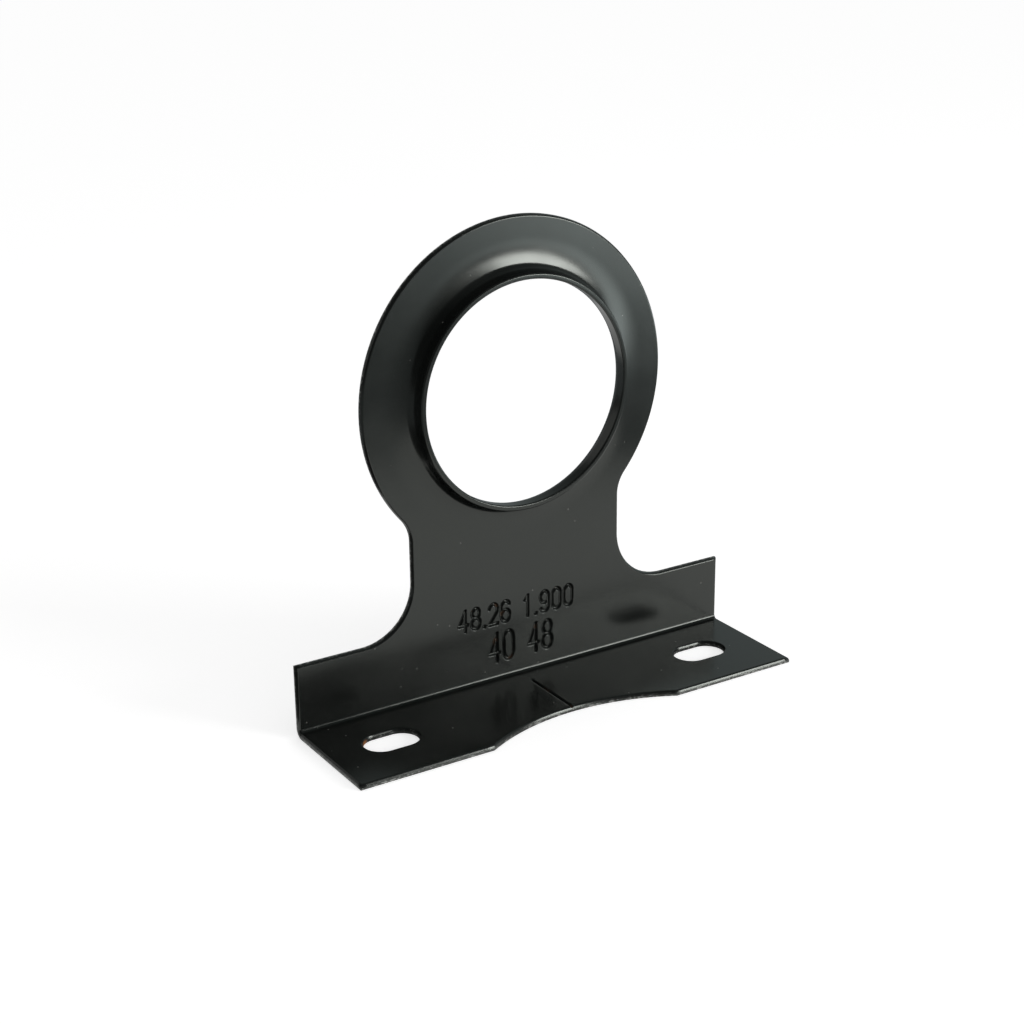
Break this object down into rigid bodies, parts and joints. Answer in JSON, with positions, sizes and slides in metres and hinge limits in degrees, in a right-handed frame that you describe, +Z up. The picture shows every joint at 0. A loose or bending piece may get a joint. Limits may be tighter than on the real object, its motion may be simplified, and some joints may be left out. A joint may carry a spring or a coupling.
{
  "type": "pipe stay",
  "caption": "Folded sheet steel stay: an upright ring with a drawn collar for a pipe to slide through, on a foot flange with two fixing slots.",
  "frame": {"origin": "on the underside of the foot flange, midway between the two fixing slots", "axes": "+X along the fold and the row of slots, +Z up from the mounting face, -Y the way the flange and the collar reach; the pipe's axis is parallel to Y"},
  "size_m": [0.11, 0.0286, 0.1048],
  "materials": {
    "black_enamel": "semi-gloss black enamel on sheet steel"
  },
  "bodies": {
    "root": {"pipe_stay": "black_enamel"}
  },
  "joints": []
}
